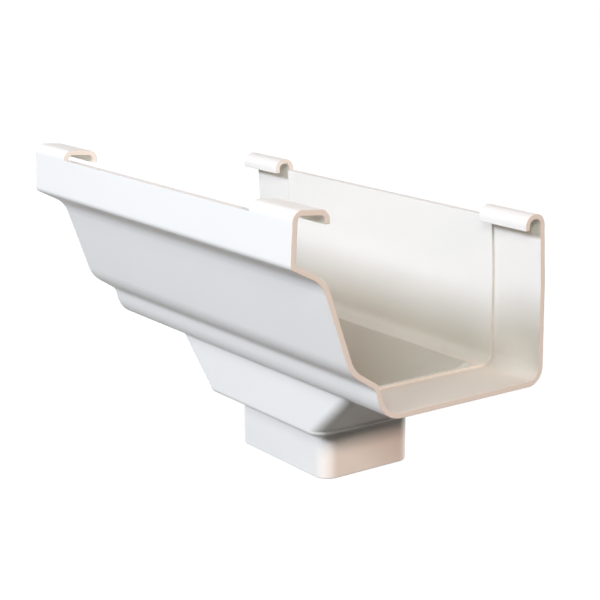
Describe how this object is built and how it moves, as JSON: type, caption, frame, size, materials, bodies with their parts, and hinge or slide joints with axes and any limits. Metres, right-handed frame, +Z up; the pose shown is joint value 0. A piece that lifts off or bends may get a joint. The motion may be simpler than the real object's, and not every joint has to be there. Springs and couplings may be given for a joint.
{
  "type": "gutter outlet",
  "caption": "Gloss plastic gutter outlet: an open-ended ogee gutter section with hooked rims and stop steps, a sloping hopper under it and a rectangular spigot for a downpipe.",
  "frame": {"origin": "centre of the spigot's mouth, at the foot of the outlet", "axes": "+X along the gutter, +Y towards the wall behind it, +Z up"},
  "size_m": [0.212, 0.1347, 0.1444],
  "materials": {
    "gutter_outlet": "gloss"
  },
  "bodies": {
    "root": {"gutter_outlet": "gutter_outlet"}
  },
  "joints": []
}
